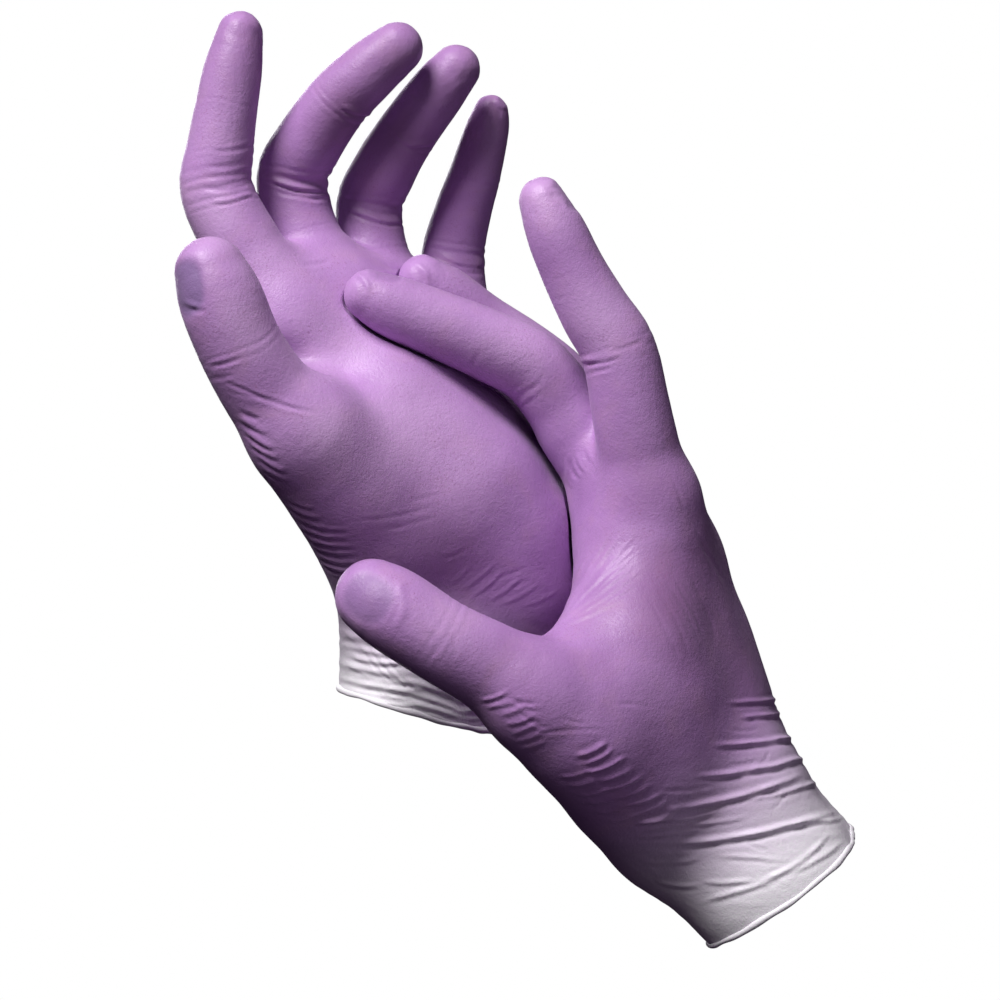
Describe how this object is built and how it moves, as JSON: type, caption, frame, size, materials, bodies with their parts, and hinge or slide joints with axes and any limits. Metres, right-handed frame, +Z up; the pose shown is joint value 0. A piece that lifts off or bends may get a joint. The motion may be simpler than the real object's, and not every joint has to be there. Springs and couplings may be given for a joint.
{
  "type": "pair of disposable gloves",
  "caption": "Pair of thin disposable examination gloves holding the shape of two relaxed hands, one cupped round the other, with open beaded cuffs.",
  "frame": {"origin": "bottom centre of the pair's bounding box", "axes": "+Z up, from the cuffs to the fingertips; the left glove's open palm faces -Y and +X; the right glove is at +X and in front of it"},
  "size_m": [0.1848, 0.1116, 0.2645],
  "materials": {
    "glove_film": "thin lavender nitrile film, satin, softly mottled",
    "cuff_film": "the same film, paler towards the rolled bead"
  },
  "bodies": {
    "left_palm": {"left_palm": "glove_film"},
    "left_cuff": {"left_cuff": "cuff_film", "left_cuff_bead": "cuff_film"},
    "left_index_base": {"left_index_base": "glove_film"},
    "left_index_middle": {"left_index_middle": "glove_film"},
    "left_index_tip": {"left_index_tip": "glove_film"},
    "left_middle_base": {"left_middle_base": "glove_film"},
    "left_middle_middle": {"left_middle_middle": "glove_film"},
    "left_middle_tip": {"left_middle_tip": "glove_film"},
    "left_ring_base": {"left_ring_base": "glove_film"},
    "left_ring_middle": {"left_ring_middle": "glove_film"},
    "left_ring_tip": {"left_ring_tip": "glove_film"},
    "left_little_base": {"left_little_base": "glove_film"},
    "left_little_middle": {"left_little_middle": "glove_film"},
    "left_little_tip": {"left_little_tip": "glove_film"},
    "left_thumb_base": {"left_thumb_base": "glove_film"},
    "left_thumb_tip": {"left_thumb_tip": "glove_film"},
    "right_palm": {"right_palm": "glove_film"},
    "right_cuff": {"right_cuff": "cuff_film", "right_cuff_bead": "cuff_film"},
    "right_index_base": {"right_index_base": "glove_film"},
    "right_index_middle": {"right_index_middle": "glove_film"},
    "right_index_tip": {"right_index_tip": "glove_film"},
    "right_middle_base": {"right_middle_base": "glove_film"},
    "right_middle_middle": {"right_middle_middle": "glove_film"},
    "right_middle_tip": {"right_middle_tip": "glove_film"},
    "right_ring_base": {"right_ring_base": "glove_film"},
    "right_ring_middle": {"right_ring_middle": "glove_film"},
    "right_ring_tip": {"right_ring_tip": "glove_film"},
    "right_little_base": {"right_little_base": "glove_film"},
    "right_little_middle": {"right_little_middle": "glove_film"},
    "right_little_tip": {"right_little_tip": "glove_film"},
    "right_thumb_base": {"right_thumb_base": "glove_film"},
    "right_thumb_tip": {"right_thumb_tip": "glove_film"}
  },
  "joints": [
    {"name": "left_index_knuckle", "type": "hinge", "parent": "left_palm", "child": "left_index_base", "pos_m": [-0.06119, -0.00088, 0.17864], "axis": [0.7314, 0.5316, 0.4271], "range_deg": [-3, 40]},
    {"name": "left_index_bend", "type": "hinge", "parent": "left_index_base", "child": "left_index_middle", "pos_m": [-0.08239, -0.00088, 0.21494], "axis": [0.1157, 0.991, 0.0676], "range_deg": [-25, 20]},
    {"name": "left_index_end_bend", "type": "hinge", "parent": "left_index_middle", "child": "left_index_tip", "pos_m": [-0.07939, -0.00288, 0.23914], "axis": [0.7995, 0.5811, -0.1523], "range_deg": [-15, 12]},
    {"name": "left_middle_knuckle", "type": "hinge", "parent": "left_palm", "child": "left_middle_base", "pos_m": [-0.04809, 0.01112, 0.18414], "axis": [0.7856, 0.571, 0.2384], "range_deg": [-15, 3]},
    {"name": "left_middle_bend", "type": "hinge", "parent": "left_middle_base", "child": "left_middle_middle", "pos_m": [-0.06259, 0.01612, 0.21994], "axis": [0.4549, 0.8885, 0.0602], "range_deg": [-25, 45]},
    {"name": "left_middle_end_bend", "type": "hinge", "parent": "left_middle_middle", "child": "left_middle_tip", "pos_m": [-0.04969, 0.00812, 0.24054], "axis": [0.6269, 0.4557, -0.6319], "range_deg": [-15, 27]},
    {"name": "left_ring_knuckle", "type": "hinge", "parent": "left_palm", "child": "left_ring_base", "pos_m": [-0.03209, 0.02212, 0.18104], "axis": [0.8014, 0.5825, 0.136], "range_deg": [-15, 1]},
    {"name": "left_ring_bend", "type": "hinge", "parent": "left_ring_base", "child": "left_ring_middle", "pos_m": [-0.04119, 0.02712, 0.21324], "axis": [0.4959, 0.8684, 0.0053], "range_deg": [-25, 40]},
    {"name": "left_ring_end_bend", "type": "hinge", "parent": "left_ring_middle", "child": "left_ring_tip", "pos_m": [-0.03089, 0.02112, 0.23274], "axis": [0.7112, 0.5169, -0.4765], "range_deg": [-15, 24]},
    {"name": "left_little_knuckle", "type": "hinge", "parent": "left_palm", "child": "left_little_base", "pos_m": [-0.01449, 0.03312, 0.17104], "axis": [0.8081, 0.5873, -0.0458], "range_deg": [-15, 1]},
    {"name": "left_little_bend", "type": "hinge", "parent": "left_little_base", "child": "left_little_middle", "pos_m": [-0.01719, 0.03912, 0.20034], "axis": [0.7171, 0.6928, -0.0758], "range_deg": [-25, 35]},
    {"name": "left_little_end_bend", "type": "hinge", "parent": "left_little_middle", "child": "left_little_tip", "pos_m": [-0.01099, 0.03512, 0.22244], "axis": [0.8031, 0.5837, -0.12], "range_deg": [-15, 21]},
    {"name": "left_thumb_knuckle", "type": "hinge", "parent": "left_palm", "child": "left_thumb_base", "pos_m": [-0.05899, -0.02288, 0.14534], "axis": [0.6545, 0.4757, 0.5876], "range_deg": [-15, 30]},
    {"name": "left_thumb_bend", "type": "hinge", "parent": "left_thumb_base", "child": "left_thumb_tip", "pos_m": [-0.07299, -0.03388, 0.16984], "axis": [0.7592, 0.5518, 0.345], "range_deg": [-30, 45]},
    {"name": "left_wrist", "type": "hinge", "parent": "left_palm", "child": "left_cuff", "pos_m": [-0.01724, 0.01587, 0.09129], "axis": [0.7009, 0.7009, -0.1326], "range_deg": [-20, 20]},
    {"name": "right_index_knuckle", "type": "hinge", "parent": "right_palm", "child": "right_index_base", "pos_m": [0.03731, -0.00988, 0.12904], "axis": [-0.2045, -0.9615, -0.1834], "range_deg": [-15, 1]},
    {"name": "right_index_bend", "type": "hinge", "parent": "right_index_base", "child": "right_index_middle", "pos_m": [0.02911, -0.01588, 0.16964], "axis": [-0.1487, -0.9735, -0.1739], "range_deg": [-25, 10]},
    {"name": "right_index_end_bend", "type": "hinge", "parent": "right_index_middle", "child": "right_index_tip", "pos_m": [0.01671, -0.01788, 0.19144], "axis": [-0.2058, -0.9677, -0.1453], "range_deg": [-15, 6]},
    {"name": "right_middle_knuckle", "type": "hinge", "parent": "right_palm", "child": "right_middle_base", "pos_m": [0.03481, 0.00912, 0.13044], "axis": [-0.1934, -0.9092, -0.3688], "range_deg": [-2, 0]},
    {"name": "right_middle_bend", "type": "hinge", "parent": "right_middle_base", "child": "right_middle_middle", "pos_m": [0.00681, 0.00112, 0.16484], "axis": [0.2447, -0.9693, -0.0263], "range_deg": [-5, 0]},
    {"name": "right_middle_end_bend", "type": "hinge", "parent": "right_middle_middle", "child": "right_middle_tip", "pos_m": [-0.01959, -0.00588, 0.17724], "axis": [-0.1585, -0.7453, -0.6476], "range_deg": [-3, 0]},
    {"name": "right_ring_knuckle", "type": "hinge", "parent": "right_palm", "child": "right_ring_base", "pos_m": [0.03731, 0.02762, 0.12764], "axis": [-0.201, -0.9449, -0.2583], "range_deg": [-5, 0]},
    {"name": "right_ring_bend", "type": "hinge", "parent": "right_ring_base", "child": "right_ring_middle", "pos_m": [0.01451, 0.02312, 0.16184], "axis": [0.4071, -0.9005, 0.1529], "range_deg": [-20, 0]},
    {"name": "right_ring_end_bend", "type": "hinge", "parent": "right_ring_middle", "child": "right_ring_tip", "pos_m": [-0.00769, 0.01592, 0.17854], "axis": [-0.1516, -0.7129, -0.6847], "range_deg": [-12, 0]},
    {"name": "right_little_knuckle", "type": "hinge", "parent": "right_palm", "child": "right_little_base", "pos_m": [0.04101, 0.04562, 0.12084], "axis": [-0.2055, -0.9662, -0.1557], "range_deg": [-4, 0]},
    {"name": "right_little_bend", "type": "hinge", "parent": "right_little_base", "child": "right_little_middle", "pos_m": [0.02351, 0.04512, 0.14704], "axis": [-0.2029, -0.954, -0.2205], "range_deg": [-20, 0]},
    {"name": "right_little_end_bend", "type": "hinge", "parent": "right_little_middle", "child": "right_little_tip", "pos_m": [0.01101, 0.04512, 0.15854], "axis": [-0.2037, -0.9576, -0.2037], "range_deg": [-12, 0]},
    {"name": "right_thumb_knuckle", "type": "hinge", "parent": "right_palm", "child": "right_thumb_base", "pos_m": [0.00771, -0.03788, 0.07564], "axis": [-0.1652, -0.7765, -0.6081], "range_deg": [-15, 15]},
    {"name": "right_thumb_bend", "type": "hinge", "parent": "right_thumb_base", "child": "right_thumb_tip", "pos_m": [-0.01939, -0.04488, 0.09194], "axis": [-0.5288, 0.0793, -0.8451], "range_deg": [-25, 15]},
    {"name": "right_wrist", "type": "hinge", "parent": "right_palm", "child": "right_cuff", "pos_m": [0.05676, 0.01062, 0.04304], "axis": [0.2193, 0.9745, -0.0487], "range_deg": [-25, 25]},
    {"name": "right_glove_draws_away", "type": "slide", "parent": "left_palm", "child": "right_palm", "axis": [0.8486, -0.5291, 0], "range_m": [0, 0.2]}
  ],
  "couplings": [
    {"joint": "left_index_end_bend", "follows": "left_index_bend", "ratio": 0.6},
    {"joint": "left_middle_end_bend", "follows": "left_middle_bend", "ratio": 0.6},
    {"joint": "left_ring_end_bend", "follows": "left_ring_bend", "ratio": 0.6},
    {"joint": "left_little_end_bend", "follows": "left_little_bend", "ratio": 0.6},
    {"joint": "right_index_end_bend", "follows": "right_index_bend", "ratio": 0.6},
    {"joint": "right_middle_end_bend", "follows": "right_middle_bend", "ratio": 0.6},
    {"joint": "right_ring_end_bend", "follows": "right_ring_bend", "ratio": 0.6},
    {"joint": "right_little_end_bend", "follows": "right_little_bend", "ratio": 0.6}
  ]
}
